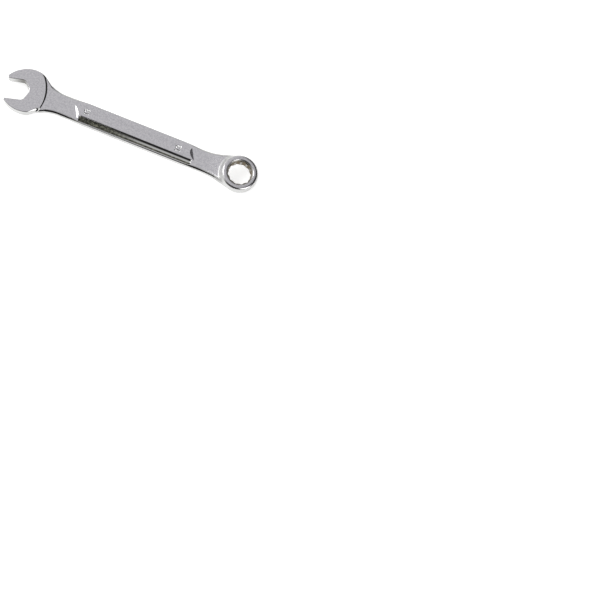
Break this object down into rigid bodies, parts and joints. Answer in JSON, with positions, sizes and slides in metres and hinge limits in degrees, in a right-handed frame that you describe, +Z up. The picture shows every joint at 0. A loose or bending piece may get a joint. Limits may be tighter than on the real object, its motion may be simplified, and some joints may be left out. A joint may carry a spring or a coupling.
{
  "type": "combination wrench",
  "caption": "Forged steel combination wrench: open jaws angled to the shank at one end, a leaning twelve-point ring at the other, and a raised panel between flutes.",
  "frame": {"origin": "on the surface that the wrench lies on, under the middle of its length and width", "axes": "+X along the shank from the open end to the ring, +Z up out of the face that carries the size stamp, +Y completes a right-handed frame"},
  "size_m": [0.165, 0.0285, 0.0107],
  "materials": {
    "satin_chrome": "satin chrome plate on ground forged steel",
    "polished_chrome": "bright chrome plate with satin faces"
  },
  "bodies": {
    "root": {"open_end_head": "satin_chrome", "open_end_neck": "satin_chrome", "fluted_shank": "polished_chrome", "box_end_neck": "satin_chrome", "box_end_ring": "polished_chrome"}
  },
  "joints": []
}
